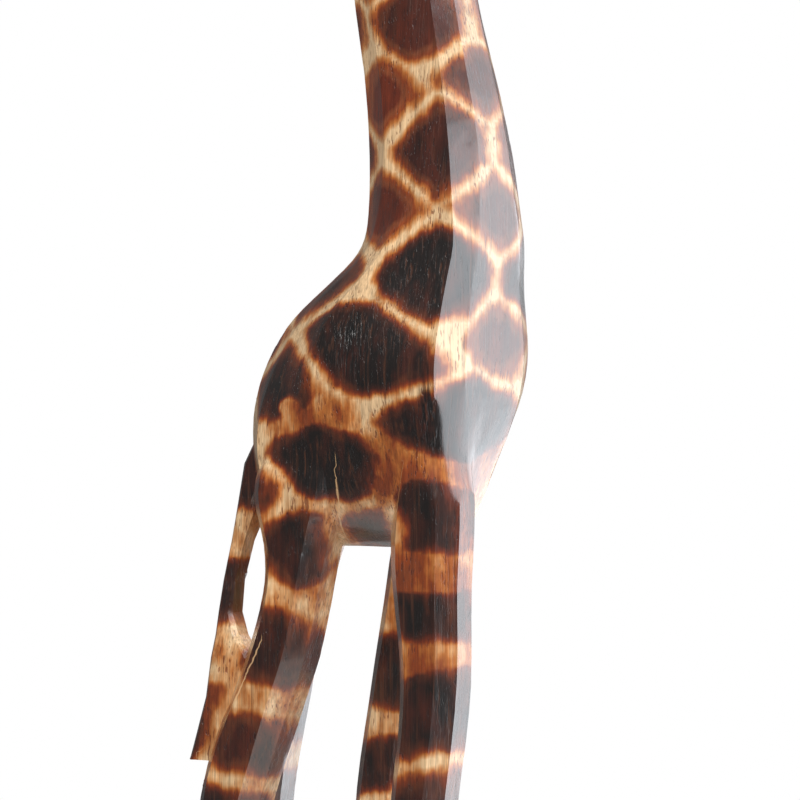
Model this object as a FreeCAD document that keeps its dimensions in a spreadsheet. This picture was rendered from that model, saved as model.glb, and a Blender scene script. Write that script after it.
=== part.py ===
# Carved giraffe statue, about one metre tall, in millimetres.
# +X points forwards (the muzzle), +Y to the giraffe's left, +Z up; the origin is on the floor,
# below the centre of the statue's bounding box.
# The body, neck, four legs and tail are one carving out of one log with its grain upright.
# The head is a second block with its grain along the muzzle, held on the neck by a glued dowel.
# Ears, horns and eyes are glued into drilled sockets, and a felt pad is stuck under each hoof.
import FreeCAD, Part
import math
import os
import Sketcher

Vector = FreeCAD.Vector
doc = FreeCAD.newDocument("carved_giraffe")

# ---------------------------------------------------------------- driving dimensions

DIMENSIONS = {
    "log_axis_x": 22.0,        # the log's upright axis stands this far in front of the origin
    "belly_height": 375.0,
    "neck_joint_height": 908.0,
    "pad_thickness": 2.0,
    "pad_diameter": 24.0,
    "dowel_diameter": 14.0,
    "dowel_length": 64.0,
    "dowel_chamfer": 1.5,
    "glue_gap": 0.1,           # radial room for glue round every peg
    "socket_spare": 1.0,       # a socket is this much deeper than its peg
    "horn_peg_diameter": 6.0,
    "horn_peg_length": 12.0,
    "horn_root_diameter": 11.0,
    "horn_waist_diameter": 7.6,
    "horn_knob_diameter": 11.0,
    "horn_length": 40.0,
    "ear_peg_diameter": 5.0,
    "ear_peg_length": 9.0,
    "ear_length": 42.0,
    "ear_width": 19.0,
    "ear_thickness": 7.0,
    "ear_hollow": 3.4,
    "eye_diameter": 10.0,
    "eye_stand_out": 3.2,
    "eye_peg_diameter": 3.0,
    "eye_peg_length": 6.0,
    "hoof_cleft_width": 2.6,
    "hoof_cleft_height": 30.0,
    "mouth_cut_height": 1.4,
    "nostril_diameter": 4.4,
}

sheet = doc.addObject("Spreadsheet::Sheet", "Dimensions")
for row, (alias, value) in enumerate(DIMENSIONS.items(), start=1):
    sheet.set(f"A{row}", alias)
    sheet.set(f"B{row}", str(value))
    sheet.setAlias(f"B{row}", alias)
doc.recompute()


def dim(alias):
    """One driving dimension, as the sheet holds it."""
    return float(sheet.get(alias))


def at(x, y, z):
    """A point given by its distance in front of the log's axis."""
    return Vector(dim("log_axis_x") + x, y, z)


def loft(name, rings, straight=False):
    """A closed solid through rings of corner points, its long arrises smooth or straight between rings."""
    wires = [Part.makePolygon(ring + [ring[0]]) for ring in rings]
    piece = doc.addObject("Part::Feature", name)
    piece.Shape = Part.makeLoft(wires, True, straight)
    return piece


def mirrored_ring(right_side):
    """Closes a ring from its corners on the giraffe's right, front to back, by mirroring them in Y."""
    left_side = [Vector(p.x, -p.y, p.z) for p in reversed(right_side)]
    return right_side + left_side


# ---------------------------------------------------------------- carved body
# Each trunk station: height, back edge and breast from the log's axis, half width, stride (how far
# the right side is ahead of the middle, and the left side behind it), and the facets: 0 for the
# narrow neck's, 1 for the barrel's, 2 for the haunches', or a mixture in between.

NECK_FACETS = [(0.00, 0.47), (0.11, 1.00), (0.34, 0.985), (0.54, 0.89), (0.74, 0.80), (1.00, 0.34)]
BARREL_FACETS = [(0.00, 0.60), (0.06, 0.98), (0.44, 1.00), (0.64, 0.94), (0.87, 0.56), (1.00, 0.22)]
HAUNCH_FACETS = [(0.00, 0.62), (0.06, 0.96), (0.44, 1.00), (0.70, 0.98), (0.92, 0.80), (1.00, 0.42)]
FACET_SETS = [NECK_FACETS, BARREL_FACETS, HAUNCH_FACETS]

BELLY = dim("belly_height")
JOINT = dim("neck_joint_height")
TRUNK_STATIONS = [
    (BELLY, -88.0, 46.0, 17.0, 10.0, 2.0),
    (383.0, -92.0, 48.0, 29.0, 13.0, 2.0),
    (400.0, -98.0, 51.5, 39.5, 13.0, 2.0),
    (434.0, -100.5, 62.0, 47.5, 8.0, 2.0),
    (465.0, -99.5, 69.0, 52.0, 2.5, 1.4),
    (496.0, -88.0, 71.5, 51.5, 0.0, 1.0),
    (521.0, -67.0, 71.5, 46.5, 0.0, 1.0),
    (543.0, -38.0, 72.5, 42.0, 0.0, 0.9),
    (559.0, -22.0, 74.0, 39.5, 0.0, 0.75),
    (580.0, -15.5, 73.5, 37.5, 0.0, 0.4),
    (620.0, -14.0, 69.5, 34.0, 0.0, 0.0),
    (663.0, -18.5, 60.5, 30.0, 0.0, 0.0),
    (713.0, -27.5, 49.0, 26.0, 0.0, 0.0),
    (760.0, -31.5, 42.0, 24.3, 0.0, 0.0),
    (807.0, -31.5, 36.5, 23.3, 0.0, 0.0),
    (858.0, -27.5, 33.0, 22.6, 0.0, 0.0),
    (JOINT, -21.0, 32.0, 22.0, 0.0, 0.0),
]


def trunk_ring(height, back, breast, half_width, stride, facets):
    first = min(int(facets), len(FACET_SETS) - 2)
    share = facets - first
    right_side, left_side = [], []
    for (near_x, near_y), (far_x, far_y) in zip(FACET_SETS[first], FACET_SETS[first + 1]):
        along = near_x + share * (far_x - near_x)
        aside = near_y + share * (far_y - near_y)
        middle = breast - along * (breast - back)
        right_side.append(at(middle + aside * stride, -aside * half_width, height))
        left_side.insert(0, at(middle - aside * stride, aside * half_width, height))
    return right_side + left_side


trunk = loft("trunk_blank", [trunk_ring(*station) for station in TRUNK_STATIONS])

# Each leg station: height, centre from the log's axis, centre to the side, depth, width.
PAD_TOP = dim("pad_thickness")
LEG_STATIONS = {
    "front_right": [
        (456.0, 43.0, -21.0, 26.0, 28.0),
        (434.0, 46.0, -25.5, 39.0, 41.0),
        (415.0, 46.0, -27.0, 46.0, 40.0),
        (BELLY, 44.5, -28.0, 50.0, 37.0),
        (341.0, 45.0, -28.0, 46.5, 36.0),
        (279.0, 46.0, -28.0, 41.5, 36.0),
        (217.0, 38.5, -29.0, 40.0, 35.0),
        (165.0, 35.0, -30.0, 38.0, 33.0),
        (95.0, 33.0, -31.0, 31.0, 29.0),
        (38.0, 33.0, -32.0, 29.0, 28.0),
        (27.0, 34.0, -32.0, 33.0, 31.0),
        (PAD_TOP, 38.0, -32.0, 45.0, 37.0),
    ],
    "front_left": [
        (456.0, 22.0, 21.0, 28.0, 28.0),
        (434.0, 20.0, 25.0, 40.0, 39.0),
        (415.0, 15.0, 27.0, 44.0, 38.0),
        (BELLY, 3.0, 28.0, 45.0, 37.0),
        (341.0, -3.0, 28.0, 45.0, 36.0),
        (279.0, -16.0, 28.0, 42.0, 36.0),
        (217.0, -27.5, 29.0, 40.0, 35.0),
        (165.0, -31.0, 30.0, 38.0, 33.0),
        (95.0, -30.0, 31.0, 31.0, 29.0),
        (38.0, -28.0, 32.0, 29.0, 28.0),
        (27.0, -27.0, 32.0, 33.0, 31.0),
        (PAD_TOP, -23.0, 32.0, 45.0, 37.0),
    ],
    "hind_right": [
        (452.0, -44.0, -21.0, 48.0, 30.0),
        (431.0, -46.0, -25.0, 64.0, 38.0),
        (405.0, -52.0, -26.5, 66.0, 41.0),
        (BELLY, -54.0, -26.5, 49.0, 38.0),
        (341.0, -59.0, -26.5, 42.0, 37.0),
        (304.0, -70.0, -26.5, 45.5, 37.0),
        (279.0, -81.0, -26.5, 46.5, 36.5),
        (242.0, -96.0, -27.0, 49.0, 36.0),
        (212.0, -105.0, -28.0, 46.0, 35.0),
        (170.0, -110.0, -29.0, 38.0, 33.0),
        (100.0, -110.0, -30.5, 31.0, 29.0),
        (38.0, -108.0, -32.0, 29.0, 28.0),
        (27.0, -107.0, -32.0, 33.0, 31.0),
        (PAD_TOP, -103.0, -32.0, 45.0, 37.0),
    ],
    "hind_left": [
        (452.0, -58.0, 21.0, 44.0, 30.0),
        (431.0, -66.0, 24.5, 58.0, 38.0),
        (405.0, -77.0, 25.5, 57.0, 41.0),
        (BELLY, -85.0, 24.0, 43.0, 36.0),
        (341.0, -92.0, 21.5, 39.0, 34.0),
        (304.0, -102.0, 21.0, 38.5, 34.0),
        (279.0, -107.5, 21.0, 39.0, 34.0),
        (242.0, -116.5, 22.0, 39.0, 34.0),
        (212.0, -122.5, 23.5, 38.0, 33.5),
        (170.0, -125.0, 25.5, 35.0, 32.0),
        (100.0, -122.0, 29.0, 31.0, 29.0),
        (38.0, -118.0, 32.0, 29.0, 28.0),
        (27.0, -117.0, 32.0, 33.0, 31.0),
        (PAD_TOP, -113.0, 32.0, 45.0, 37.0),
    ],
}
LEG_CHAMFER = 0.28  # share of the section's smaller side that the corner facets take


def octagon_ring(height, middle, side, depth, width, chamfer=LEG_CHAMFER):
    """A rectangle with its four corners taken off."""
    cut = chamfer * min(depth, width)
    long, wide = depth / 2, width / 2
    corners = [
        (long, cut - wide), (long, wide - cut), (long - cut, wide), (cut - long, wide),
        (-long, wide - cut), (-long, cut - wide), (cut - long, -wide), (long - cut, -wide),
    ]
    return [at(middle + x, side + y, height) for x, y in corners]


legs = []
for leg_name, stations in LEG_STATIONS.items():
    legs.append(loft(f"leg_{leg_name}_blank", [octagon_ring(*station) for station in stations]))

# The tail hangs free below the rump and its tuft rests against the right hind leg.
TAIL_STATIONS = [
    (452.0, -86.0, 0.0, 20.0, 28.0),
    (425.0, -101.0, -1.0, 22.0, 26.0),
    (400.0, -109.5, -3.0, 15.0, 20.0),
    (377.0, -115.5, -6.0, 10.5, 15.0),
    (352.0, -119.5, -10.0, 9.5, 14.0),
    (332.0, -119.5, -14.0, 11.5, 15.0),
    (318.0, -116.0, -17.0, 19.0, 17.0),
    (304.0, -110.5, -19.5, 33.0, 18.0),
    (279.0, -113.5, -21.0, 32.0, 19.0),
    (239.0, -130.5, -22.0, 23.0, 18.0),
]
TAIL_CHAMFER = 0.2
tail = loft("tail_blank", [octagon_ring(*s, chamfer=TAIL_CHAMFER) for s in TAIL_STATIONS], straight=True)

body_union = doc.addObject("Part::MultiFuse", "body_union")
body_union.Shapes = [trunk, *legs, tail]


def box_tool(name, length, width, height, middle):
    """An upright box centred on a point in X and Y, its length, width and height as expressions."""
    tool = doc.addObject("Part::Box", name)
    tool.setExpression("Length", length)
    tool.setExpression("Width", width)
    tool.setExpression("Height", height)
    doc.recompute()
    tool.Placement.Base = middle - Vector(tool.Length.Value / 2, tool.Width.Value / 2, 0)
    return tool


HOOF_TOE = 24.0  # from a hoof's middle to just in front of its toe
clefts = []
for leg_name, stations in LEG_STATIONS.items():
    _, middle, side, _, _ = stations[-1]
    clefts.append(box_tool(
        f"cleft_{leg_name}", "16 mm", "Dimensions.hoof_cleft_width * 1 mm",
        "Dimensions.hoof_cleft_height * 1 mm", at(middle + HOOF_TOE, side, -2.0),
    ))


def cylinder_tool(name, diameter, length, place):
    """A drill of that diameter and depth, as expressions, whose mouth is at the placement and which goes down its -Z."""
    tool = doc.addObject("Part::Cylinder", name)
    tool.setExpression("Radius", f"({diameter}) / 2 * 1 mm")
    tool.setExpression("Height", f"({length}) * 1 mm")
    doc.recompute()
    down = FreeCAD.Placement(Vector(0, 0, -tool.Height.Value), FreeCAD.Rotation())
    tool.Placement = place.multiply(down)
    return tool


DOWEL_X = 4.5  # the neck's middle at the joint
joint_place = FreeCAD.Placement(at(DOWEL_X, 0, JOINT), FreeCAD.Rotation())
neck_bore = cylinder_tool(
    "neck_bore", "Dimensions.dowel_diameter + 2 * Dimensions.glue_gap",
    "Dimensions.dowel_length / 2 + Dimensions.socket_spare", joint_place,
)
body_tools = doc.addObject("Part::MultiFuse", "body_tools")
body_tools.Shapes = [*clefts, neck_bore]
body = doc.addObject("Part::Cut", "body")
body.Base = body_union
body.Tool = body_tools
body.Label = "carved_body"

# ---------------------------------------------------------------- head
# The skull runs along a line that points forwards and down. Each station: distance from the poll,
# height above the line, depth below it, half width.

MUZZLE_DROP = math.radians(17.0)
POLL = (-25.0, 947.0)
HEAD_LINE = Vector(math.cos(MUZZLE_DROP), 0, -math.sin(MUZZLE_DROP))
HEAD_UP = Vector(math.sin(MUZZLE_DROP), 0, math.cos(MUZZLE_DROP))
HEAD_STATIONS = [
    (0.0, 11.0, 12.0, 10.0),
    (9.0, 21.0, 22.0, 17.5),
    (26.0, 26.0, 25.0, 22.5),
    (42.0, 25.0, 23.0, 24.0),
    (60.0, 18.0, 20.0, 19.5),
    (84.0, 12.5, 16.0, 14.5),
    (104.0, 12.0, 15.0, 14.0),
    (118.0, 10.5, 12.5, 13.0),
    (126.0, 5.0, 6.5, 8.5),
]
HEAD_FACETS = [(0.42, 1.00), (0.86, 0.60), (1.00, 0.02), (0.80, -0.62), (0.36, -1.00)]


def head_point(along, up=0.0, side=0.0):
    return at(POLL[0], side, POLL[1]) + HEAD_LINE * along + HEAD_UP * up


def head_ring(along, above, below, half_width):
    corners = []
    for aside, upright in HEAD_FACETS:
        reach = above if upright > 0 else below
        corners.append(head_point(along, upright * reach, -aside * half_width))
    return mirrored_ring(corners)


skull = loft("skull_blank", [head_ring(*station) for station in HEAD_STATIONS])
STUB_STATIONS = [
    (JOINT, -21.0, 32.0, 22.0, 0.0, 0.0),
    (925.0, -17.0, 34.0, 21.5, 0.0, 0.0),
    (948.0, -10.0, 26.0, 17.0, 0.0, 0.0),
]
stub = loft("stub_blank", [trunk_ring(*station) for station in STUB_STATIONS])
head_union = doc.addObject("Part::MultiFuse", "head_union")
head_union.Shapes = [skull, stub]


def pointing(point, direction):
    """A placement at point whose +Z runs along direction."""
    return FreeCAD.Placement(point, FreeCAD.Rotation(Vector(0, 0, 1), direction))


RIGHT, LEFT = -1, 1
SIDES = {"right": RIGHT, "left": LEFT}
HORN_ALONG, HORN_UP, HORN_SIDE = 27.0, 23.5, 9.0
EAR_ALONG, EAR_UP, EAR_SIDE = 15.0, 15.0, 16.5
EYE_ALONG, EYE_UP, EYE_SIDE = 46.0, 7.5, 21.0


def horn_place(side):
    direction = HEAD_UP * 1.0 - HEAD_LINE * 0.05 + Vector(0, 0.16 * side, 0)
    return pointing(head_point(HORN_ALONG, HORN_UP, HORN_SIDE * side), direction)


def mirrored(direction, side):
    """A direction given for the giraffe's left, taken to the side that is +1 for left, -1 for right."""
    ahead, outward, upward = direction
    return Vector(ahead, outward * side, upward)


EAR_LENGTH_WAY = (-0.35, 0.85, 0.62)
EAR_FRONT_WAY = (0.92, 0.30, 0.12)
EYE_WAY = (0.22, 1.0, 0.30)
NOSTRIL_WAY = (0.75, 0.9, 0.55)
NOSTRIL_ALONG, NOSTRIL_UP, NOSTRIL_SIDE = 117.0, 6.5, 10.5
NOSTRIL_START, NOSTRIL_DEPTH = 4.0, "9.0"  # the bit starts this far outside the muzzle


def ear_place(side):
    """The ear's own +Z is its length and its +X its hollow front, which faces forwards and outwards."""
    length = mirrored(EAR_LENGTH_WAY, side).normalize()
    front = mirrored(EAR_FRONT_WAY, side)
    front = (front - length * front.dot(length)).normalize()
    turn = FreeCAD.Rotation(front, length.cross(front), length, "ZXY")
    return FreeCAD.Placement(head_point(EAR_ALONG, EAR_UP, EAR_SIDE * side), turn)


def eye_place(side):
    return pointing(head_point(EYE_ALONG, EYE_UP, EYE_SIDE * side), mirrored(EYE_WAY, side))


head_tools = []
for side_name, side in SIDES.items():
    for kind, place in (("horn", horn_place(side)), ("ear", ear_place(side)), ("eye", eye_place(side))):
        head_tools.append(cylinder_tool(
            f"{kind}_socket_{side_name}",
            f"Dimensions.{kind}_peg_diameter + 2 * Dimensions.glue_gap",
            f"Dimensions.{kind}_peg_length + Dimensions.socket_spare", place,
        ))
    nostril = mirrored(NOSTRIL_WAY, side).normalize()
    nostril_mouth = head_point(NOSTRIL_ALONG, NOSTRIL_UP, NOSTRIL_SIDE * side) + nostril * NOSTRIL_START
    head_tools.append(cylinder_tool(
        f"nostril_{side_name}", "Dimensions.nostril_diameter", NOSTRIL_DEPTH,
        pointing(nostril_mouth, nostril),
    ))
# The eye's rim sits in a shallow round seat, the horn's and the ear's roots on small flats.
SEATS = {
    "eye": (eye_place, "Dimensions.eye_diameter + 2 * Dimensions.glue_gap"),
    "horn": (horn_place, "Dimensions.horn_root_diameter + 2 * Dimensions.glue_gap"),
    "ear": (ear_place, "Dimensions.ear_thickness + 2.0"),
}
SEAT_REACH = 9.0
for kind, (place_of, diameter) in SEATS.items():
    for side_name, side in SIDES.items():
        seat_mouth = place_of(side).multiply(FreeCAD.Placement(Vector(0, 0, SEAT_REACH), FreeCAD.Rotation()))
        head_tools.append(cylinder_tool(f"{kind}_seat_{side_name}", diameter, str(SEAT_REACH), seat_mouth))

MOUTH_FROM, MOUTH_TO, MOUTH_LINE, MOUTH_CUT_WIDTH = 92.0, 130.0, -4.5, 40.0
mouth = doc.addObject("Part::Box", "mouth_cut")
mouth.Length = MOUTH_TO - MOUTH_FROM
mouth.Width = MOUTH_CUT_WIDTH
mouth.setExpression("Height", "Dimensions.mouth_cut_height * 1 mm")
mouth.Placement = FreeCAD.Placement(
    head_point(MOUTH_FROM, MOUTH_LINE, -MOUTH_CUT_WIDTH / 2),
    FreeCAD.Rotation(Vector(0, 1, 0), math.degrees(MUZZLE_DROP)),
)
# The saw cut is only skin deep: this share of the muzzle's width stays whole, and a little more,
# which runs out towards the lips.
MOUTH_CORE, CORE_MORE, CORE_TAPER = 0.62, 2.0, 0.02
core_rings = [
    head_ring(a, u, d, w * MOUTH_CORE + CORE_MORE - CORE_TAPER * a) for a, u, d, w in HEAD_STATIONS[4:]
]
core = loft("mouth_core", core_rings)
mouth_cut = doc.addObject("Part::Cut", "mouth_groove")
mouth_cut.Base = mouth
mouth_cut.Tool = core
head_bore = cylinder_tool(
    "head_bore", "Dimensions.dowel_diameter + 2 * Dimensions.glue_gap",
    "Dimensions.dowel_length / 2 + Dimensions.socket_spare",
    joint_place.multiply(FreeCAD.Placement(Vector(0, 0, 0), FreeCAD.Rotation(Vector(1, 0, 0), 180))),
)
head_tools += [mouth_cut, head_bore]
head_cutters = doc.addObject("Part::MultiFuse", "head_cutters")
head_cutters.Shapes = head_tools
head = doc.addObject("Part::Cut", "head_block")
head.Base = head_union
head.Tool = head_cutters
head.Label = "head"

# ---------------------------------------------------------------- small pieces


def new_body(label, place):
    piece = doc.addObject("PartDesign::Body", label + "_body")
    piece.Label = label
    piece.Placement = place
    return piece


def sketch_on(body, role, name):
    sketch = body.newObject("Sketcher::SketchObject", name)
    plane = next(f for f in body.Origin.OriginFeatures if f.Role == role)
    sketch.AttachmentSupport = (plane, [""])
    sketch.MapMode = "FlatFace"
    return sketch


def circle_pad(body, name, diameter, length, midplane=False):
    """A round sketch about the body's Z axis, padded, both sizes bound to the sheet."""
    sketch = sketch_on(body, "XY_Plane", name + "_sketch")
    sketch.addGeometry(Part.Circle(Vector(0, 0, 0), Vector(0, 0, 1), 5.0), False)
    sketch.addConstraint(Sketcher.Constraint("Coincident", 0, 3, -1, 1))
    size = sketch.addConstraint(Sketcher.Constraint("Diameter", 0, 10.0))
    sketch.setExpression(f"Constraints[{size}]", f"({diameter}) * 1 mm")
    pad = body.newObject("PartDesign::Pad", name)
    pad.Profile = sketch
    pad.setExpression("Length", f"({length}) * 1 mm")
    pad.Midplane = midplane
    return pad


def turned(body, name, outline):
    """Revolves a closed outline of (radius, height) points about the body's Z axis; a point may carry its bulge."""
    sketch = sketch_on(body, "XZ_Plane", name + "_sketch")
    for start, end in zip(outline, outline[1:] + outline[:1]):
        a, b = Vector(start[0], start[1], 0), Vector(end[0], end[1], 0)
        if len(start) == 3:
            normal = Vector(b.y - a.y, a.x - b.x, 0).normalize()
            middle = (a + b) * 0.5 + normal * start[2]
            sketch.addGeometry(Part.Arc(a, middle, b), False)
        else:
            sketch.addGeometry(Part.LineSegment(a, b), False)
    turn = body.newObject("PartDesign::Revolution", name)
    turn.Profile = sketch
    turn.ReferenceAxis = (sketch, ["V_Axis"])
    turn.Angle = 360.0
    return turn


dowel = new_body("neck_dowel", joint_place)
dowel_pad = circle_pad(dowel, "dowel_round", "Dimensions.dowel_diameter", "Dimensions.dowel_length", midplane=True)
doc.recompute()
dowel_ends = dowel.newObject("PartDesign::Chamfer", "dowel_ends")
dowel_ends.Base = (dowel_pad, ["Edge1", "Edge3"])
dowel_ends.setExpression("Size", "Dimensions.dowel_chamfer * 1 mm")

subparts = [body, head, dowel]



def cap_bulge(radius, rise):
    """The bulge of a dome's arc, so that it is level at its top: radius is how far in the arc comes."""
    return math.hypot(radius, rise) / 2 * math.tan(math.atan2(rise, radius) / 2)


peg, peg_deep = dim("horn_peg_diameter") / 2, dim("horn_peg_length")
root, waist = dim("horn_root_diameter") / 2, dim("horn_waist_diameter") / 2
knob_rim, horn_top = 0.46 * dim("horn_knob_diameter"), dim("horn_length")
DOME_FLAT = 0.35  # a dome ends in a polished flat of this radius
HORN_OUTLINE = [
    (0.0, -peg_deep), (peg, -peg_deep), (peg, 0.0), (root, 0.0, -1.0), (waist, horn_top * 0.45, -0.6),
    (knob_rim, horn_top * 0.76, 0.8),
    (knob_rim, horn_top * 0.92, cap_bulge(knob_rim - DOME_FLAT, horn_top * 0.08)),
    (DOME_FLAT, horn_top), (0.0, horn_top),
]
EYE_RIM = 0.6
eye, eye_out = dim("eye_diameter") / 2, dim("eye_stand_out")
eye_peg, eye_peg_deep = dim("eye_peg_diameter") / 2, dim("eye_peg_length")
EYE_OUTLINE = [
    (0.0, -eye_peg_deep), (eye_peg, -eye_peg_deep), (eye_peg, 0.0), (eye, 0.0),
    (eye, EYE_RIM, cap_bulge(eye - DOME_FLAT, eye_out - EYE_RIM)), (DOME_FLAT, eye_out), (0.0, eye_out),
]


EAR_ROOT_HALF = 2.6
EAR_WIDEST = 0.52  # share of the way from the root to the tip
SCOOP_FROM, SCOOP_DEEPEST, SCOOP_TO = 0.10, 0.48, 0.93
SCOOP_AXIS_OFF = 2.0  # the gouge turned about a line this far in front of the leaf


def ear(label, place):
    """A leaf with a scooped front: half an oval outline, padded, hollowed by a groove, on a round peg."""
    body = new_body(label, place)
    long, wide, thick = dim("ear_length"), dim("ear_width") / 2, dim("ear_thickness")
    outline = sketch_on(body, "YZ_Plane", label + "_outline")
    tip, left_root, right_root = Vector(0, long, 0), Vector(-EAR_ROOT_HALF, 0, 0), Vector(EAR_ROOT_HALF, 0, 0)
    outline.addGeometry(Part.Arc(right_root, Vector(wide, long * EAR_WIDEST, 0), tip), False)
    outline.addGeometry(Part.Arc(tip, Vector(-wide, long * EAR_WIDEST, 0), left_root), False)
    outline.addGeometry(Part.LineSegment(left_root, right_root), False)
    leaf = body.newObject("PartDesign::Pad", label + "_leaf")
    leaf.Profile = outline
    leaf.Midplane = True
    leaf.setExpression("Length", "Dimensions.ear_thickness * 1 mm")
    circle_pad(body, label + "_peg", "Dimensions.ear_peg_diameter", "Dimensions.ear_peg_length").Reversed = True
    scoop = sketch_on(body, "XZ_Plane", label + "_scoop_sketch")
    deep = dim("ear_hollow")
    axis_at = thick / 2 + SCOOP_AXIS_OFF
    foot, head_end = Vector(axis_at, long * SCOOP_FROM, 0), Vector(axis_at, long * SCOOP_TO, 0)
    bottom = Vector(thick / 2 - deep, long * SCOOP_DEEPEST, 0)
    scoop.addGeometry(Part.Arc(foot, bottom, head_end), False)
    scoop.addGeometry(Part.LineSegment(head_end, foot), False)
    hollow = body.newObject("PartDesign::Groove", label + "_hollow")
    hollow.Profile = scoop
    hollow.ReferenceAxis = (scoop, ["Edge2"])
    hollow.Angle = 360.0
    return body


for side_name, side in SIDES.items():
    horn = new_body(f"horn_{side_name}", horn_place(side))
    turned(horn, f"horn_{side_name}_turning", HORN_OUTLINE)
    bead = new_body(f"eye_{side_name}", eye_place(side))
    turned(bead, f"eye_{side_name}_turning", EYE_OUTLINE)
    subparts += [horn, bead, ear(f"ear_{side_name}", ear_place(side))]

for leg_name, stations in LEG_STATIONS.items():
    _, middle, side, _, _ = stations[-1]
    pad = new_body(f"foot_pad_{leg_name}", FreeCAD.Placement(at(middle, side, 0), FreeCAD.Rotation()))
    circle_pad(pad, f"pad_{leg_name}", "Dimensions.pad_diameter", "Dimensions.pad_thickness")
    subparts.append(pad)

# ---------------------------------------------------------------- check and write

doc.recompute()
for item in doc.Objects:
    if "Invalid" in item.State or "Error" in item.State:
        raise RuntimeError(f"{item.Name} failed: {item.State}")
os.makedirs("parts", exist_ok=True)
for old in os.listdir("parts"):
    os.remove(os.path.join("parts", old))
for piece in subparts:
    shape = piece.Shape
    if shape.isNull() or not shape.isValid() or not shape.Solids:
        raise RuntimeError(f"{piece.Label} isn't a valid solid")
    box = shape.BoundBox
    print(f"{piece.Label:24s} {len(shape.Solids)} solid {shape.Volume / 1000:9.2f} cm3  "
          f"x {box.XMin:7.1f} {box.XMax:7.1f}  y {box.YMin:6.1f} {box.YMax:6.1f}  z {box.ZMin:6.1f} {box.ZMax:6.1f}")
    shape.exportStep(f"parts/{piece.Label}.step")
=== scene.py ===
import math

import bmesh
import bpy
import numpy as np
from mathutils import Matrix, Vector
from mathutils.bvhtree import BVHTree
from mathutils.kdtree import KDTree


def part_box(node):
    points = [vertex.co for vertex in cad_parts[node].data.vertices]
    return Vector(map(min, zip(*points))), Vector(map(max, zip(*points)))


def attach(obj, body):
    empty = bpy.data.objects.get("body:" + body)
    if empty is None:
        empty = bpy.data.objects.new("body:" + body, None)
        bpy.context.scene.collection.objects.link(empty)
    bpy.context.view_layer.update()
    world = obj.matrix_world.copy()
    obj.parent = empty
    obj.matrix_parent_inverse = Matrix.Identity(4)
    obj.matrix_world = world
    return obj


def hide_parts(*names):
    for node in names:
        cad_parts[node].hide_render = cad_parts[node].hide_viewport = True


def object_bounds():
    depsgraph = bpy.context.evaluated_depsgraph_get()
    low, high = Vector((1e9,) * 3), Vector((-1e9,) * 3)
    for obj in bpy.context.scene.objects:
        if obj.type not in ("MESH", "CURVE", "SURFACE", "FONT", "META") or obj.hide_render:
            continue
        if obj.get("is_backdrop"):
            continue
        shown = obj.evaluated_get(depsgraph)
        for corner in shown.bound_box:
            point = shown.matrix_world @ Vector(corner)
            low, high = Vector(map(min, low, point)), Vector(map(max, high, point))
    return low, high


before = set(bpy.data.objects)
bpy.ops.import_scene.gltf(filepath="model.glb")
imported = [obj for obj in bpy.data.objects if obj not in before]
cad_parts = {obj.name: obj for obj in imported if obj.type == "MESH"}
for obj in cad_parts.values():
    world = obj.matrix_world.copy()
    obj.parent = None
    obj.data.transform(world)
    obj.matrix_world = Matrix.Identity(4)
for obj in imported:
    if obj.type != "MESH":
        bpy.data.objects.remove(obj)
cad_low, cad_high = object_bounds()
scene = bpy.context.scene
scene.view_settings.view_transform = "Standard"

# ---------------------------------------------------------------- studio
# A pale floor and a white wall in a dim room. Two tall softboxes stand side by side ahead of the
# giraffe and to its left, and a broad one hangs above its right side.

HEIGHT = cad_high.z
VIEW_TURN = math.radians(35.0)  # how far the camera has gone round from square-on towards the muzzle
VIEW_BACK = Vector((math.sin(VIEW_TURN), -math.cos(VIEW_TURN), 0.0))
VIEW_DISTANCE = 3.0
LOOK_AT = Vector((0.0153, 0.0107, 0.465 * HEIGHT))  # the middle of the barrel

camera = bpy.data.objects.new("camera", bpy.data.cameras.new("camera"))
camera.data.sensor_width = 36.0
camera.data.lens = 218.0
camera.data.clip_end = 100.0
camera.location = LOOK_AT + VIEW_DISTANCE * VIEW_BACK
camera.rotation_euler = VIEW_BACK.to_track_quat("Z", "Y").to_euler()
scene.collection.objects.link(camera)
scene.camera = camera


def room_point(bearing, distance, height):
    """A place in the room; the bearing runs from straight ahead of the giraffe round to its right."""
    turn = math.radians(bearing)
    return Vector((distance * math.cos(turn), -distance * math.sin(turn), height))


DUSK = 0.10  # how bright the room is beside its white wall


def softbox(name, bearing, distance, height, width, tall, brightness, tint):
    """A rectangular light that faces the middle of the statue; its brightness is that of its face."""
    light = bpy.data.lights.new(name, "AREA")
    light.shape = "RECTANGLE"
    light.size, light.size_y = width, tall
    light.energy = brightness * math.pi * width * tall
    light.color = tint
    lamp = bpy.data.objects.new(name, light)
    lamp.location = room_point(bearing, distance, height)
    lamp.rotation_euler = (lamp.location - LOOK_AT).to_track_quat("Z", "Y").to_euler()
    lamp.visible_camera = False
    scene.collection.objects.link(lamp)


COOL, WARM = (0.90, 0.95, 1.0), (1.0, 0.99, 0.97)
softbox(
    "softbox_ahead", bearing=-22.0, distance=2.2, height=0.1, width=3.7, tall=3.4, brightness=2.5, tint=COOL,
)
softbox(
    "softbox_beside", bearing=-80.0, distance=2.2, height=0.1, width=1.4, tall=3.4, brightness=2.3, tint=COOL,
)
softbox(
    "softbox_above", bearing=76.0, distance=1.7, height=2.1, width=1.6, tall=1.4, brightness=9.5, tint=WARM,
)


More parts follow.
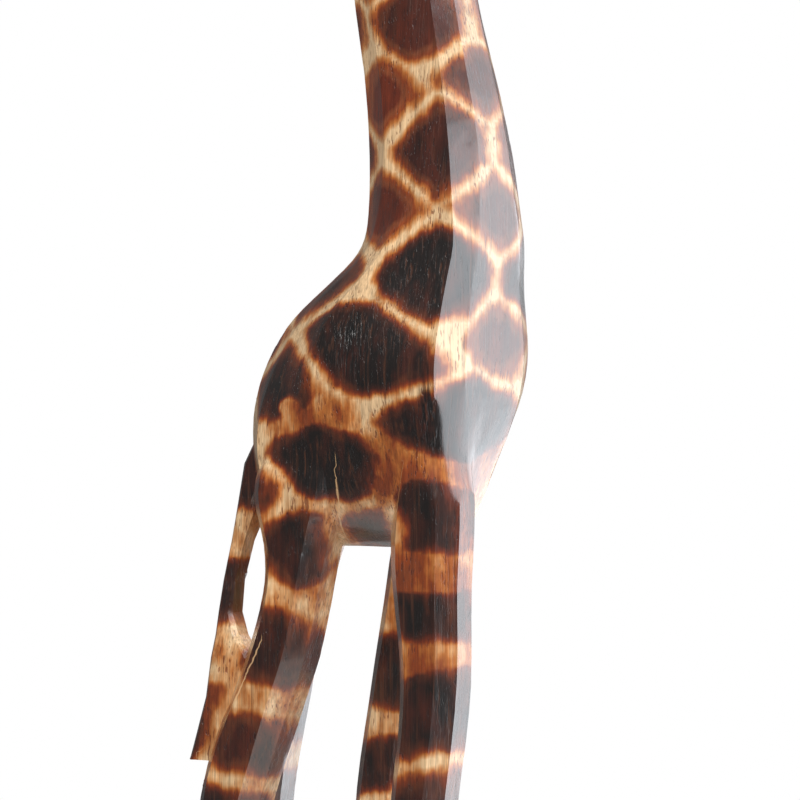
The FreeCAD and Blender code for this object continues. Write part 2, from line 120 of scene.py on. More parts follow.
def add(tree, kind, *feeds, **settings):
    """Adds a shader node. Feeds go to its inputs in order and settings to properties, or to inputs by
    their names; a feed or setting that is a socket is linked. Returns the node."""
    made = tree.nodes.new("ShaderNode" + kind)
    for key, value in settings.items():
        if key[0].islower():
            setattr(made, key, value)
    named = [(made.inputs[k.replace("_", " ")], v) for k, v in settings.items() if k[0].isupper()]
    for socket, value in list(zip(made.inputs, feeds)) + named:
        if isinstance(value, bpy.types.NodeSocket):
            tree.links.new(value, socket)
        elif value is not None:
            socket.default_value = value
    return made


def maths(tree, operation, *feeds):
    return add(tree, "Math", *feeds, operation=operation).outputs[0]


def colour(red, green, blue):
    """A display colour, 0 to 255, as the linear values that a socket holds."""
    return tuple((c / 255.0) ** 2.2 for c in (red, green, blue)) + (1.0,)


room = bpy.data.worlds.new("room")
scene.world = room
room.use_nodes = True
air = room.node_tree
air.nodes.clear()
seen = add(air, "LightPath").outputs["Is Camera Ray"]
level = maths(air, "MAXIMUM", seen, DUSK)
backdrop = add(air, "Background", (1.0, 1.0, 1.0, 1.0), level)
add(air, "OutputWorld", backdrop.outputs[0])


def material(name):
    """An empty material and its node tree."""
    made = bpy.data.materials.new(name)
    made.use_nodes = True
    made.node_tree.nodes.clear()
    return made, made.node_tree


def principled(tree, **settings):
    shader = add(tree, "BsdfPrincipled", **settings)
    add(tree, "OutputMaterial", shader.outputs[0])
    return shader


FLOOR_RADIUS = 0.55
floor_mesh = bmesh.new()
bmesh.ops.create_circle(floor_mesh, cap_ends=True, segments=96, radius=FLOOR_RADIUS)
floor = bpy.data.objects.new("floor", bpy.data.meshes.new("floor"))
floor_mesh.to_mesh(floor.data)
floor_mesh.free()
scene.collection.objects.link(floor)
floor_paint, floor_tree = material("floor_paint")
principled(floor_tree, Base_Color=colour(232, 230, 226), Roughness=0.8)
floor.data.materials.append(floor_paint)
floor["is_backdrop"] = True

# ---------------------------------------------------------------- carved body
# Neck, barrel, legs and tail are one upright length of light, straight-grained tropical wood. It is
# roughed out with a saw, faceted with long knife strokes down the grain, scorched with a torch
# through a patch stencil, and dipped in gloss lacquer.


def settle(piece):
    """Turns a piece's modifiers into its mesh."""
    done = piece.evaluated_get(bpy.context.evaluated_depsgraph_get())
    piece.data = bpy.data.meshes.new_from_object(done)
    piece.modifiers.clear()


WELD = 1e-6  # corners this close are one
SKIN_FILL = 0.8  # share of the skin's grid that the solid fills
RUBS = 40  # passes of the sandpaper


def blank(node, depth, sharp=math.radians(24.0), rubbed=()):
    """A copy of a CAD solid with its triangles joined and an even skin, ready to be carved. The skin's
    cells are about the solid's longest side halved that many times."""
    piece = bpy.data.objects.new(node + "_carving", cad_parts[node].data.copy())
    scene.collection.objects.link(piece)
    skin = bmesh.new()
    skin.from_mesh(piece.data)
    bmesh.ops.remove_doubles(skin, verts=skin.verts, dist=WELD)
    skin.to_mesh(piece.data)
    skin.free()
    piece.data.materials.clear()
    even = piece.modifiers.new("even_skin", "REMESH")
    even.mode = "SHARP"
    even.octree_depth = depth
    even.scale = SKIN_FILL
    even.use_remove_disconnected = False
    even.use_smooth_shade = True
    settle(piece)
    blend_in(piece.data, rubbed, RUBS)
    piece.data.set_sharp_from_angle(angle=sharp)
    return piece


def read(mesh, what):
    values = np.empty(len(mesh.vertices) * 3)
    mesh.vertices.foreach_get(what, values)
    return values.reshape(-1, 3)


def write(mesh, points):
    mesh.vertices.foreach_set("co", points.ravel())
    mesh.update()


def neighbours(mesh):
    """The two ends of every edge."""
    ends = np.empty(len(mesh.edges) * 2, dtype=np.int64)
    mesh.edges.foreach_get("vertices", ends)
    return ends.reshape(-1, 2).T


def blend_in(mesh, places, rounds):
    """Rubs the wood smooth round each place, within its radius, so that one form grows out of another."""
    points = read(mesh, "co")
    share = np.zeros(len(points))
    for centre, radius in places:
        gap = np.linalg.norm(points - centre, axis=1) / radius
        share = np.maximum(share, np.clip(1.6 * (1 - gap), 0.0, 0.5))
    first, second = neighbours(mesh)
    count = np.bincount(first, minlength=len(points)) + np.bincount(second, minlength=len(points))
    for _ in range(rounds):
        total = np.zeros_like(points)
        np.add.at(total, first, points[second])
        np.add.at(total, second, points[first])
        points += (total / count[:, None] - points) * share[:, None]
    write(mesh, points)


LEAN = 0.03  # how far a stroke leans away from the skin
FACING = 0.7  # skin that faces the stroke less than this is left alone


def whittle(mesh, chance, strokes, reach, bite, long):
    """Shallow knife scallops, longer than wide along the grain by the given factor."""
    points, normals = read(mesh, "co"), read(mesh, "normal")
    squeeze = np.array((1.0, 1.0, 1.0 / long))
    near = KDTree(len(points))
    for index, point in enumerate(points * squeeze):
        near.insert(point, index)
    near.balance()
    for index in chance.choice(len(points), strokes, replace=False):
        radius = reach * chance.uniform(0.5, 1.0)
        slant = normals[index] + chance.normal(0.0, LEAN, 3)
        slant /= np.linalg.norm(slant)
        found = near.find_range(points[index] * squeeze, radius)
        around = np.array([hit[1] for hit in found])
        spread = np.array([hit[2] for hit in found]) / radius
        above = (points[around] - points[index]) @ slant + bite * (1 - spread ** 2)
        same_side = normals[around] @ slant > FACING
        points[around] -= np.outer(np.clip(above, 0.0, 2 * bite) * same_side, slant)
    write(mesh, points)


WAVES = 6
ALONG_GRAIN = 0.45  # a wave changes this much slower along the grain
WAY_LENGTH = 1.6  # about how long a wave's drawn way is


def ripple(mesh, chance, size, length):
    """The slow waver of long strokes, as a few waves of that length through the wood."""
    points, normals = read(mesh, "co"), read(mesh, "normal")
    lift = np.zeros(len(points))
    for _ in range(WAVES):
        way = chance.normal(0.0, 1.0, 3) * (1.0, 1.0, ALONG_GRAIN)
        lift += np.sin(points @ (way * math.tau / length / WAY_LENGTH) + chance.uniform(0, math.tau))
    write(mesh, points + normals * (lift * size / WAVES)[:, None])


def mark(mesh, name, values):
    layer = mesh.attributes.new(name, "FLOAT", "POINT")
    layer.data.foreach_set("value", np.ascontiguousarray(values, dtype=np.float32))


# Where the legs grow out of the chest and the haunches: the middle of the place and its radius.
RUBBED = [((0.088, -0.036, 0.437), 0.034), ((0.048, 0.036, 0.437), 0.034),
          ((-0.030, -0.044, 0.440), 0.030), ((-0.050, 0.040, 0.440), 0.030)]

body = blank("carved_body", 9, rubbed=RUBBED)

knife = np.random.default_rng(7)
ripple(body.data, knife, size=0.0007, length=0.060)
whittle(body.data, knife, strokes=160, reach=0.012, bite=0.00010, long=3.0)

# The stencil: each patch's height, bearing from straight ahead round to the right, half width, half
# height, rise towards the muzzle, and how black it is burnt. Lengths are in metres.
NECK_RIGHT = [
    (0.852, 62, 0.030, 0.026, 0.0, 0.6), (0.776, 60, 0.033, 0.027, 0.0, 0.65),
    (0.697, 58, 0.037, 0.028, 0.0, 0.5), (0.617, 53, 0.041, 0.0295, 0.0, 0.65),
    (0.540, 46, 0.042, 0.030, 0.0, 0.95),
    (0.880, 122, 0.024, 0.021, 0.0, 0.4), (0.812, 122, 0.026, 0.022, 0.0, 0.45),
    (0.733, 124, 0.029, 0.023, 0.0, 0.3), (0.650, 126, 0.034, 0.0245, 0.0, 0.15),
    (0.581, 124, 0.036, 0.024, 0.0, 0.30),
]
BODY_RIGHT = [
    (0.533, 152, 0.034, 0.018, 0.3, 0.75), (0.496, 72, 0.057, 0.028, -0.18, 0.95),
    (0.476, 142, 0.042, 0.026, 0.0, 0.85), (0.427, 94, 0.048, 0.024, -0.10, 1.0),
    (0.411, 139, 0.022, 0.016, 0.0, 0.8), (0.374, 119, 0.030, 0.0235, 0.0, 0.85),
]
FRONT = [
    (0.885, 0, 0.023, 0.021, 0.0, 0.5), (0.814, 0, 0.026, 0.023, 0.0, 0.5),
    (0.738, 0, 0.029, 0.024, 0.0, 0.5), (0.660, 0, 0.032, 0.0245, 0.0, 0.5),
    (0.582, 1, 0.034, 0.026, 0.0, 0.5), (0.500, -6, 0.038, 0.024, 0.0, 0.4),
    (0.452, 14, 0.060, 0.028, 0.0, 0.9), (0.455, -72, 0.034, 0.024, 0.0, 0.9),
]
BACK = [
    (0.846, 180, 0.017, 0.018, 0.0, 0.5), (0.772, 180, 0.018, 0.019, 0.0, 0.5),
    (0.692, 180, 0.020, 0.020, 0.0, 0.5), (0.615, 180, 0.024, 0.020, 0.0, 0.6),
    (0.498, 180, 0.030, 0.020, 0.0, 0.8), (0.455, 180, 0.020, 0.014, 0.0, 0.8),
]
# Under the belly and on the rump, by place instead of bearing: forward, aside, height, then as above.
PLACED = [
    (0.023, -0.032, 0.383, 0.032, 0.018, 0.15, 1.0), (0.000, 0.034, 0.388, 0.028, 0.016, 0.15, 0.9),
    (0.000, 0.000, 0.380, 0.022, 0.020, 0.0, 0.8), (-0.030, -0.045, 0.462, 0.010, 0.006, 0.0, 0.5),
]
# Bands round the legs: height, half height, rise towards the muzzle, blackness.
LEG_BANDS = {
    ("right", "front"): [
        (0.396, 0.025, -0.1, 1.0), (0.334, 0.0175, 0.0, 1.0), (0.275, 0.0265, 0.25, 0.9),
        (0.214, 0.025, 0.3, 0.8),
        (0.160, 0.018, 0.1, 0.8), (0.116, 0.017, -0.1, 0.8), (0.073, 0.015, 0.0, 0.8),
        (0.012, 0.022, 0.0, 1.0),
    ],
    ("left", "front"): [
        (0.395, 0.020, 0.1, 0.9), (0.297, 0.024, 0.0, 1.0),
        (0.238, 0.017, 0.2, 1.0), (0.196, 0.015, 0.1, 0.8), (0.152, 0.018, 0.0, 0.8),
        (0.106, 0.016, 0.0, 0.8), (0.066, 0.014, 0.0, 0.8), (0.012, 0.022, 0.0, 1.0),
    ],
    ("right", "hind"): [
        (0.313, 0.024, -0.12, 0.8), (0.253, 0.0195, -0.1, 0.7), (0.204, 0.021, -0.1, 0.9),
        (0.154, 0.018, 0.1, 0.8), (0.112, 0.016, 0.0, 0.8), (0.072, 0.014, 0.0, 0.8),
        (0.012, 0.022, 0.0, 1.0),
    ],
    ("left", "hind"): [
        (0.325, 0.021, 0.0, 0.8), (0.270, 0.020, 0.0, 0.8), (0.213, 0.019, 0.0, 0.8),
        (0.166, 0.016, 0.1, 0.8), (0.124, 0.016, 0.0, 0.8), (0.078, 0.015, 0.0, 0.8),
        (0.012, 0.022, 0.0, 1.0),
    ],
}
# Bands down the tail: forward, to the side, height, half height, rise, blackness.
TAIL_BANDS = [
    (-0.083, -0.002, 0.418, 0.021, 0.0, 0.9), (-0.097, -0.010, 0.345, 0.0195, 0.0, 0.75),
    (-0.112, -0.024, 0.262, 0.021, 0.3, 0.7),
]
DIAMOND, OVAL, BAND = 1.45, 1.8, 5.0  # the stencils' outlines, from pointed to square
LEG_REACH, TAIL_REACH = 0.030, 0.024
# Each leg's middle line: its place to the side, then its heights with how far forward it is there.
FRONT_HEIGHTS, HIND_HEIGHTS = (0.012, 0.10, 0.217, 0.28, 0.40), (0.012, 0.10, 0.212, 0.28, 0.34)
LEG_LINES = {
    ("right", "front"): (-0.029, FRONT_HEIGHTS, (0.060, 0.055, 0.0605, 0.068, 0.0665)),
    ("left", "front"): (0.029, FRONT_HEIGHTS, (-0.001, -0.008, -0.0055, 0.006, 0.025)),
    ("right", "hind"): (-0.029, HIND_HEIGHTS, (-0.081, -0.088, -0.083, -0.059, -0.037)),
    ("left", "hind"): (0.026, HIND_HEIGHTS, (-0.091, -0.100, -0.1005, -0.0855, -0.070)),
}
NET_LINE = 0.0055  # half the width of the unburnt line between two patches
SHOULDER = 0.44  # above this height the neck and barrel are the whole section
SLICE = 0.004  # half the height of a slice through the skin
OUTSIDE, UNDER_BELLY = 0.3, 0.05  # how far out from the middle to look for the skin

skin_points = read(body.data, "co")
skin_tree = BVHTree.FromPolygons(skin_points.tolist(), [tuple(p.vertices) for p in body.data.polygons])


def middle(near_height):
    """The middle, in plan, of the skin near a height."""
    found = skin_points[np.abs(skin_points[:, 2] - near_height) < SLICE]
    return (found.min(0) + found.max(0)) / 2


def on_skin(height, bearing):
    """The point of the skin at that height and bearing."""
    axis = middle(max(height, SHOULDER))
    out = room_point(bearing, 1.0, 0.0)
    hit = skin_tree.ray_cast(Vector((axis[0], 0.0, height)) + OUTSIDE * out, -out)[0]
    if hit is None:  # it passed under the belly
        hit = skin_tree.find_nearest(Vector((axis[0], 0.0, height)) + UNDER_BELLY * out)[0]
    return np.array(hit)


HAND_SHIFT = 0.003  # how far up or down a patch strays from its twin
PALEST = 0.85  # the palest twin, as a share of the patch's blackness


def mirrored(patches, chance):
    """The same patches on the giraffe's left, each cut a little differently."""
    for height, bearing, wide, tall, rise, black in patches:
        shift = chance.normal(0.0, HAND_SHIFT)
        yield height + shift, -bearing, wide, tall, rise, black * chance.uniform(PALEST, 1.0)


def stencils():
    """Every patch as its centre, half width, half height, rise, blackness and outline."""
    chance = np.random.default_rng(21)
    for patches, outline in ((NECK_RIGHT, DIAMOND), (BODY_RIGHT, OVAL)):
        for height, bearing, wide, tall, rise, black in patches + list(mirrored(patches, chance)):
            yield on_skin(height, bearing), wide, tall, rise, black, outline
    for height, bearing, wide, tall, rise, black in FRONT + BACK:
        yield on_skin(height, bearing), wide, tall, rise, black, DIAMOND
    for ahead, aside, height, wide, tall, rise, black in PLACED:
        yield np.array((ahead, aside, height)), wide, tall, rise, black, OVAL
    for leg, bands in LEG_BANDS.items():
        aside, heights, ahead = LEG_LINES[leg]
        for height, tall, rise, black in bands:
            centre = np.array((np.interp(height, heights, ahead), aside, height))
            yield centre, LEG_REACH, tall, rise, black, BAND
    for ahead, aside, height, tall, rise, black in TAIL_BANDS:
        yield np.array((ahead, aside, height)), TAIL_REACH, tall, rise, black, BAND


# Places where the bare wood is browned past the patches, some by the torch and one as painted shade: middle
# of the place, half width, half height, how deep.
TOAST_AND_SHADE = [
    ((-0.012, -0.046, 0.452), 0.042, 0.018, 0.0006), ((0.066, -0.040, 0.345), 0.034, 0.048, 0.0022),
    ((0.066, -0.030, 0.298), 0.034, 0.050, 0.0014), ((0.045, -0.045, 0.425), 0.020, 0.030, 0.0010),
    ((-0.012, 0.046, 0.452), 0.042, 0.018, 0.0006), ((0.025, 0.040, 0.345), 0.032, 0.050, 0.0020),
    # The next line's second place, forward under the chest, is painted shade: it browns the wood where the
    # chest's underside is in shade.
    ((0.072, -0.045, 0.402), 0.030, 0.040, 0.0016), ((0.096, -0.012, 0.425), 0.038, 0.036, 0.0030),
    # The last place is broad and faint: it browns the pale wood a little over the lower barrel and legs.
    ((-0.010, 0.000, 0.300), 0.150, 0.200, -0.0033),
]
# How black a browned place is, how fast it fades outwards, and the share of it that is even.
TOAST_AND_SHADE_CHAR, TOAST_AND_SHADE_FADE, TOAST_AND_SHADE_CORE = 0.30, 0.010, 0.6
# Arrises that the knife took last, so bare: lines of points, each forward, aside, height.
SHAVED = [
    [(0.007, -0.045, 0.430), (0.005, -0.041, 0.404), (0.002, -0.035, 0.391), (0.000, -0.024, 0.378)],
    [(0.057, -0.047, 0.426), (0.053, -0.046, 0.405), (0.050, -0.046, 0.392), (0.045, -0.041, 0.379)],
    [(-0.112, -0.033, 0.243), (-0.092, -0.038, 0.256), (-0.071, -0.045, 0.279), (-0.050, -0.046, 0.317)],
]
LINE_LOST = 0.010  # no line nearer than this
SHAVED_REACH = 0.003
# Drying checks and torn grain: middle of the place, half width, half height.
CHECKED = [((0.021, -0.050, 0.497), 0.014, 0.024), ((0.078, -0.049, 0.455), 0.008, 0.034),
           ((0.030, 0.050, 0.430), 0.012, 0.020)]


def from_lines(points, lines):
    """How far each point is from the nearest of the lines, below zero behind it."""
    nearest = np.full(len(points), LINE_LOST)
    for line in lines:
        forward, _, height = np.array(sorted(line, key=lambda point: point[2])).T
        side = np.where(points[:, 0] < np.interp(points[:, 2], height, forward), -1.0, 1.0)
        for start, end in zip(np.array(line), np.array(line[1:])):
            way = end - start
            share = np.clip((points - start) @ way / (way @ way), 0.0, 1.0)
            gap = np.linalg.norm(points - start - share[:, None] * way, axis=1)
            nearest = np.where(gap < np.abs(nearest), gap * side, nearest)
    return nearest


def within(points, places):
    """How far inside the nearest of the places each point is, from 0 at its rim to 1."""
    inside = np.zeros(len(points))
    for centre, wide, tall in places:
        away = (points - centre) / (wide, wide, tall)
        inside = np.maximum(inside, 1 - np.linalg.norm(away, axis=1))
    return inside


BURN_LIMIT = 0.02  # depths past this look the same
NOWHERE = 9.0  # a reach this long is in no patch
MEAN_SIZE = 0.03  # stands for a patch's size there


def scorch(mesh, patches, toast_and_shade=()):
    """Marks each point with its depth inside the nearest patch and how black that patch is."""
    points = read(mesh, "co")
    first = np.full(len(points), NOWHERE)
    second = first.copy()
    size, char = np.full(len(points), MEAN_SIZE), np.zeros(len(points))
    for centre, wide, tall, rise, black, outline in patches:
        away = points - centre
        up = np.abs(away[:, 2] - rise * away[:, 0]) / tall
        aside = np.hypot(away[:, 0], away[:, 1]) / wide
        reach = (up ** outline + aside ** outline) ** (1 / outline)
        nearer = reach < first
        second = np.where(nearer, first, np.minimum(second, reach))
        size = np.where(nearer, math.sqrt(wide * tall), size)
        char = np.where(nearer, black, char)
        first = np.where(nearer, reach, first)
    inside = np.minimum((1 - first) * size, (second - first) / 2 * size - NET_LINE)
    # The browned places, torch browning and the painted shade under the chest, deepen the burn past the
    # patches.
    for centre, wide, tall, deep in toast_and_shade:
        away = (points - centre) / (wide, wide, tall)
        toast_and_shade_depth = deep - TOAST_AND_SHADE_FADE * np.clip(np.linalg.norm(away, axis=1) - TOAST_AND_SHADE_CORE, 0.0, 2.0)
        char = np.where(toast_and_shade_depth > inside, TOAST_AND_SHADE_CHAR, char)
        inside = np.maximum(inside, toast_and_shade_depth)
    mark(mesh, "burn", np.clip(inside, -BURN_LIMIT, BURN_LIMIT))
    mark(mesh, "char", char)


scorch(body.data, list(stencils()), TOAST_AND_SHADE)
body_points = read(body.data, "co")
arris_gap = from_lines(body_points, SHAVED)
mark(body.data, "arris", arris_gap)
mark(body.data, "shaved", np.clip(1.5 - np.abs(arris_gap) / SHAVED_REACH, 0.0, 1.0))
mark(body.data, "check", np.clip(2.0 * within(body_points, CHECKED), 0.0, 1.0))


def group(name, inputs, outputs):
    """A shader node group with its named sockets; returns the tree, its input node and output node."""
    tree = bpy.data.node_groups.new(name, "ShaderNodeTree")
    kinds = {float: "NodeSocketFloat", tuple: "NodeSocketColor", Vector: "NodeSocketVector"}
    for socket, kind in inputs.items():
        tree.interface.new_socket(name=socket, in_out="INPUT", socket_type=kinds[kind])
    for socket, kind in outputs.items():
        tree.interface.new_socket(name=socket, in_out="OUTPUT", socket_type=kinds[kind])
    return tree, tree.nodes.new("NodeGroupInput").outputs, tree.nodes.new("NodeGroupOutput").inputs


def place_group(tree, named, **settings):
    made = tree.nodes.new("ShaderNodeGroup")
    made.node_tree = bpy.data.node_groups[named]
    for key, value in settings.items():
        socket = made.inputs[key]
        if isinstance(value, bpy.types.NodeSocket):
            tree.links.new(value, socket)
        else:
            socket.default_value = value
    return made.outputs


def stretched(tree, position, across, along, detail=2.0, roughness=0.5):
    """Noise drawn out along the grain, which is the position's Z; scales are per metre."""
    scaled = add(tree, "VectorMath", position, (across, across, along), operation="MULTIPLY").outputs[0]
    return add(tree, "TexNoise", scaled, Scale=1.0, Detail=detail, Roughness=roughness).outputs[0]


def between(tree, value, low, high, to_low=0.0, to_high=1.0):
    return add(tree, "MapRange", value, low, high, to_low, to_high).outputs[0]


def swing(tree, noise, low, high):
    """Noise, which mostly stays between 0.3 and 0.7, as values from low to high."""
    return between(tree, noise, 0.3, 0.7, low, high)


def times(tree, value, share):
    return maths(tree, "MULTIPLY", value, share)


def ramp(tree, value, stops):
    """A colour ramp through (place, colour) stops."""
    made = add(tree, "ValToRGB", value)
    elements = made.color_ramp.elements
    elements[0].position, elements[0].color = stops[0]
    elements[1].position, elements[1].color = stops[-1]
    for place, tint in stops[1:-1]:
        elements.new(place).color = tint
    return made.outputs[0]


def mix(tree, share, first, second, blend="MIX"):
    made = add(tree, "Mix", data_type="RGBA", blend_type=blend)
    for socket, value in ((made.inputs[0], share), (made.inputs[6], first), (made.inputs[7], second)):
        if isinstance(value, bpy.types.NodeSocket):
            tree.links.new(value, socket)
        else:
            socket.default_value = value
    return made.outputs[2]


# Straight-grained wood: slow streaks, fine fibres and open pores cut lengthways into short dashes.
grain, into, out = group(
    "grain", {"Position": Vector}, {"Streak": float, "Fibre": float, "Line": float, "Pore": float}
)
position = into["Position"]
grain.links.new(stretched(grain, position, across=75.0, along=4.0, detail=3.0), out["Streak"])
grain.links.new(stretched(grain, position, across=900.0, along=26.0, detail=2.0), out["Fibre"])
thin = stretched(grain, position, across=420.0, along=9.0, detail=2.0, roughness=0.7)
grain.links.new(between(grain, thin, 0.55, 0.68), out["Line"])
dashes = between(grain, stretched(grain, position, across=760.0, along=150.0, detail=1.0), 0.61, 0.67)
scatter = between(grain, stretched(grain, position, across=60.0, along=30.0, detail=1.0), 0.36, 0.58)
grain.links.new(times(grain, dashes, scatter), out["Pore"])

# Scorching: from the pale wood through a rusty halo to char, its edge feathered along the grain.
PALE, STRAW, TAN = colour(244, 204, 156), colour(222, 164, 110), colour(194, 116, 54)
RUST, RUSSET, UMBER, CHAR = colour(150, 68, 24), colour(106, 42, 18), colour(60, 26, 14), colour(24, 13, 10)
BURN_FROM, BURN_TO = -0.0052, 0.0095
burning, into, out = group(
    "scorch", {"Position": Vector, "Burn": float, "Char": float}, {"Color": tuple, "Depth": float}
)
position = into["Position"]
feather = swing(burning, stretched(burning, position, across=300.0, along=55.0, detail=3.0), -0.0011, 0.0011)
wander = swing(burning, stretched(burning, position, across=60.0, along=45.0, detail=3.0), -0.0030, 0.0030)
burnt = maths(burning, "ADD", maths(burning, "ADD", into["Burn"], feather), wander)
depth = between(burning, burnt, BURN_FROM, BURN_TO)
deep = ramp(burning, depth, [
    (0.0, PALE), (0.13, STRAW), (0.26, TAN), (0.36, RUST), (0.48, RUSSET), (0.66, UMBER), (1.0, CHAR),
])
light = ramp(burning, depth, [
    (0.0, PALE), (0.14, STRAW), (0.30, TAN), (0.50, RUST), (0.75, colour(140, 74, 42)), (1.0, RUSSET),
])
uneven = swing(burning, stretched(burning, position, across=90.0, along=35.0, detail=3.0), -0.35, 0.15)
blackness = between(burning, maths(burning, "ADD", into["Char"], uneven), 0.0, 0.9)
burning.links.new(mix(burning, blackness, light, deep), out["Color"])
burning.links.new(times(burning, depth, blackness), out["Depth"])


def burnt_wood(name, turn=(0.0, 0.0, 0.0)):
    """Scorched and lacquered wood; turn brings the grain's direction to the position's Z."""
    made, tree = material(name)
    place = add(tree, "Mapping", add(tree, "TexCoord").outputs["Object"], Rotation=turn).outputs[0]
    burn = add(tree, "Attribute", attribute_name="burn").outputs["Fac"]
    char = add(tree, "Attribute", attribute_name="char").outputs["Fac"]
    edge = add(tree, "Attribute", attribute_name="arris").outputs["Fac"]
    shaved = add(tree, "Attribute", attribute_name="shaved").outputs["Fac"]
    check = add(tree, "Attribute", attribute_name="check").outputs["Fac"]
    wood = place_group(tree, "grain", Position=place)
    fire = place_group(tree, "scorch", Position=place, Burn=burn, Char=char)
    tone = swing(tree, wood["Streak"], 0.80, 1.12)
    tone = times(tree, tone, swing(tree, wood["Fibre"], 0.72, 1.15))
    tone = times(tree, tone, between(tree, wood["Line"], 0.0, 1.0, 1.0, 0.75))
    shaded = add(tree, "VectorMath", fire["Color"], operation="SCALE", Scale=tone).outputs[0]
    pore = times(tree, wood["Pore"], 0.75)
    pored = mix(tree, pore, shaded, colour(150, 96, 60), "MULTIPLY")
    scuff = times(tree, times(tree, wood["Line"], fire["Depth"]), 0.18)
    pored = mix(tree, scuff, pored, colour(150, 88, 56))
    torn = between(tree, stretched(tree, place, across=480.0, along=34.0, detail=2.0), 0.46, 0.60)
    split = times(tree, torn, check)
    pored = mix(tree, split, pored, colour(70, 44, 34), "MULTIPLY")
    ragged = swing(tree, stretched(tree, place, across=500.0, along=60.0), 0.0003, 0.0014)
    worn = between(tree, maths(tree, "ABSOLUTE", edge), ragged, 0.0002, 0.0, 0.85)
    bare = mix(tree, times(tree, worn, shaved), pored, colour(232, 186, 136))
    gloss = swing(tree, wood["Fibre"], 0.30, 0.42)
    crackle = times(tree, stretched(tree, place, across=420.0, along=260.0, detail=2.0), fire["Depth"])
    relief = maths(tree, "ADD", times(tree, wood["Fibre"], 0.25), times(tree, wood["Streak"], 0.5))
    for cut, height in ((wood["Pore"], -0.9), (wood["Line"], -0.3), (split, -1.6), (crackle, 0.25)):
        relief = maths(tree, "ADD", relief, times(tree, cut, height))
    bump = add(tree, "Bump", Strength=0.8, Distance=0.0005, Height=relief).outputs[0]
    principled(
        tree, Base_Color=bare, Roughness=gloss, Normal=bump,
        Coat_Weight=1.0, Coat_IOR=1.85, Coat_Roughness=0.22,
    )
    return made


body.data.materials.append(burnt_wood("burnt_wood"))
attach(body, "root")
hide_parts("carved_body")

# ---------------------------------------------------------------- head
# A second block of the same wood, its grain along the muzzle, so that the thin snout does not snap.
# It is carved with a gouge, glued on a dowel in the neck's end, then scorched and lacquered.

MUZZLE_DROP = math.radians(17.0)
# The head's patches: forward, aside, height, half width, half height, rise, blackness.
HEAD_PATCHES = [
    (0.116, 0.000, 0.908, 0.017, 0.024, 0.0, 0.9), (0.052, 0.000, 0.962, 0.017, 0.016, 0.0, 0.7),
    (0.083, 0.000, 0.940, 0.015, 0.015, 0.0, 0.6), (0.012, 0.000, 0.968, 0.014, 0.012, 0.0, 0.7),
    (0.066, 0.017, 0.914, 0.019, 0.010, -0.3, 0.7), (0.066, -0.017, 0.914, 0.019, 0.010, -0.3, 0.7),
    (0.028, 0.024, 0.918, 0.014, 0.013, -0.2, 0.8), (0.028, -0.024, 0.918, 0.014, 0.013, -0.2, 0.8),
    (0.002, 0.022, 0.944, 0.013, 0.013, 0.0, 0.7), (0.002, -0.022, 0.944, 0.013, 0.013, 0.0, 0.7),
    (0.044, 0.020, 0.941, 0.012, 0.010, 0.0, 1.0), (0.044, -0.020, 0.941, 0.012, 0.010, 0.0, 1.0),
]


def placed(patches):
    return [(np.array(patch[:3]), *patch[3:], OVAL) for patch in patches]


def plain_marks(mesh):
    """No bare arrises and no checks."""
    mark(mesh, "arris", np.full(len(mesh.vertices), LINE_LOST))
    mark(mesh, "shaved", np.zeros(len(mesh.vertices)))
    mark(mesh, "check", np.zeros(len(mesh.vertices)))


head = blank("head", 8, rubbed=[((0.118, 0.000, 0.909), 0.014)])
ripple(head.data, knife, size=0.0004, length=0.045)
whittle(head.data, knife, strokes=90, reach=0.009, bite=0.00009, long=3.0)
scorch(head.data, placed(HEAD_PATCHES))
plain_marks(head.data)
head.data.materials.append(burnt_wood("head_wood", (0.0, math.pi / 2 - MUZZLE_DROP, 0.0)))
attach(head, "root")
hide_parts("head")

# ---------------------------------------------------------------- horns
# Turned pegs with a round knob, glued into holes in the top of the head and burnt at the knob.

horn_wood = burnt_wood("horn_wood")
for side in ("right", "left"):
    node = "horn_" + side
    low, high = (Vector(corner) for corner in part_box(node))
    horn = blank(node, 6)
    ripple(horn.data, knife, size=0.0002, length=0.012)
    knob = Vector(((low.x + high.x) / 2, (low.y + high.y) / 2, high.z - 0.006))
    scorch(horn.data, [(np.array(knob), 0.014, 0.011, 0.0, 1.0, OVAL)])
    plain_marks(horn.data)
    horn.data.materials.append(horn_wood)
    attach(horn, "root")
    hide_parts(node)

# ---------------------------------------------------------------- ears
# Thin carved leaves, hollowed with a small gouge, pegged into each side of the head and scorched
# at the tip and inside.

ear_wood = burnt_wood("ear_wood", (math.pi / 2, 0.0, 0.0))
for side, away in (("right", -1), ("left", 1)):
    node = "ear_" + side
    low, high = (Vector(corner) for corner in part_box(node))
    ear = blank(node, 6)
    ripple(ear.data, knife, size=0.0002, length=0.015)
    tip = np.array(((low.x + high.x) / 2, away * max(abs(low.y), abs(high.y)), (low.z + high.z) / 2))
    bowl = np.array((high.x, away * 0.028, (low.z + high.z) / 2))
    scorch(ear.data, [(tip, 0.014, 0.016, 0.0, 0.9, OVAL), (bowl, 0.011, 0.007, 0.0, 0.8, OVAL)])
    plain_marks(ear.data)
    ear.data.materials.append(ear_wood)
    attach(ear, "root")
    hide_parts(node)

# ---------------------------------------------------------------- eyes
# Moulded black resin beads with a polished dome, pushed on their pins into shallow glued seats.

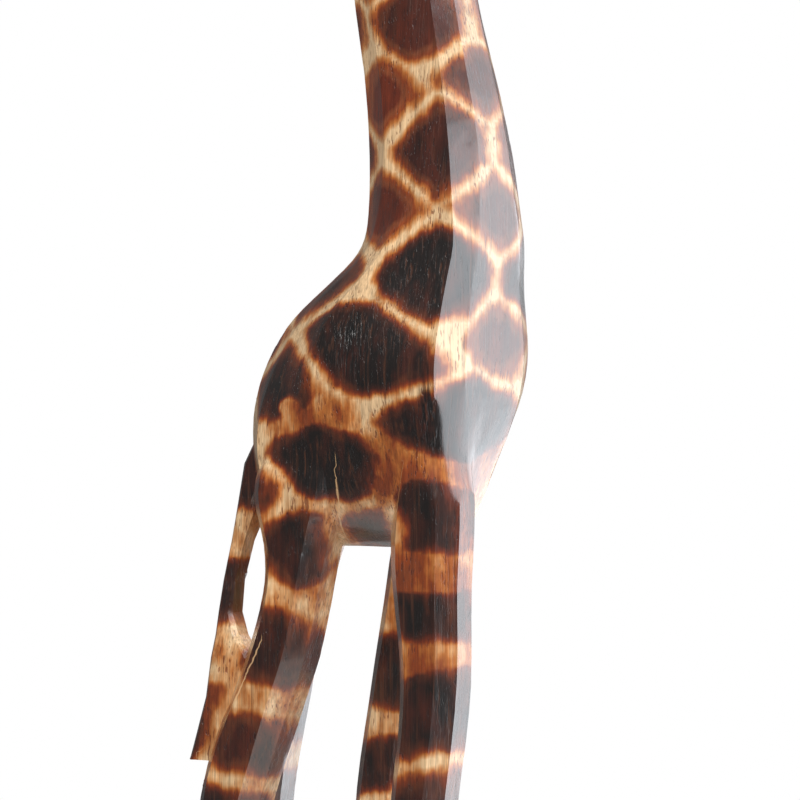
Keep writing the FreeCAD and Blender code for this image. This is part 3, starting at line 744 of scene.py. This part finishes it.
eye_bead, tree = material("eye_bead")
place = add(tree, "TexCoord").outputs["Object"]
swirl = stretched(tree, place, across=900.0, along=500.0, detail=3.0)
stain = ramp(tree, swirl, [(0.35, colour(16, 10, 8)), (0.55, colour(30, 17, 12)), (0.75, colour(52, 28, 18))])
dent = add(tree, "Bump", Strength=0.15, Distance=0.0002, Height=swirl).outputs[0]
smear = swing(tree, stretched(tree, place, across=300.0, along=300.0, detail=2.0), 0.08, 0.16)
principled(tree, Base_Color=stain, Roughness=smear, Coat_Weight=1.0, Coat_Roughness=0.04, Normal=dent)
for side in ("right", "left"):
    node = "eye_" + side
    eye = blank(node, 6, math.radians(40.0))
    eye.data.materials.append(eye_bead)
    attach(eye, "root")
    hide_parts(node)

# ---------------------------------------------------------------- neck dowel
# A length of pale, plain round beech rod, hidden once the head is glued on.

dowel_wood, tree = material("dowel_wood")
place = add(tree, "TexCoord").outputs["Object"]
wood = place_group(tree, "grain", Position=place)
tint = ramp(tree, wood["Streak"], [(0.3, colour(214, 176, 132)), (0.7, colour(232, 202, 160))])
fleck = mix(tree, wood["Pore"], tint, colour(176, 128, 84))
dent = add(tree, "Bump", Strength=0.4, Distance=0.0003, Height=wood["Fibre"]).outputs[0]
principled(tree, Base_Color=fleck, Roughness=swing(tree, wood["Fibre"], 0.55, 0.7), Normal=dent)
dowel = blank("neck_dowel", 6)
dowel.data.materials.append(dowel_wood)
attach(dowel, "root")
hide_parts("neck_dowel")

# ---------------------------------------------------------------- foot pads
# Brown needle-punched felt discs stuck under the hooves, so that the lacquer does not mark a floor.

felt, tree = material("felt")
place = add(tree, "TexCoord").outputs["Object"]
fuzz = add(tree, "TexNoise", place, Scale=2600.0, Detail=4.0, Roughness=0.7).outputs[0]
clump = add(tree, "TexNoise", place, Scale=350.0, Detail=3.0, Roughness=0.6).outputs[0]
tint = ramp(tree, maths(tree, "MULTIPLY_ADD", clump, 0.5, times(tree, fuzz, 0.5)), [
    (0.3, colour(58, 40, 30)), (0.5, colour(86, 62, 46)), (0.7, colour(112, 84, 64)),
])
dent = add(tree, "Bump", Strength=0.7, Distance=0.0004, Height=fuzz).outputs[0]
principled(tree, Base_Color=tint, Roughness=0.95, Sheen_Weight=0.3, Sheen_Roughness=0.5, Normal=dent)
for corner in ("front_right", "front_left", "hind_right", "hind_left"):
    node = "foot_pad_" + corner
    pad = blank(node, 6)
    ripple(pad.data, knife, size=0.0001, length=0.006)
    pad.data.materials.append(felt)
    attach(pad, "root")
    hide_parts(node)

# ---------------------------------------------------------------- size

low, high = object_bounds()
{"cad": [list(cad_low), list(cad_high)], "visual": [list(low), list(high)]}
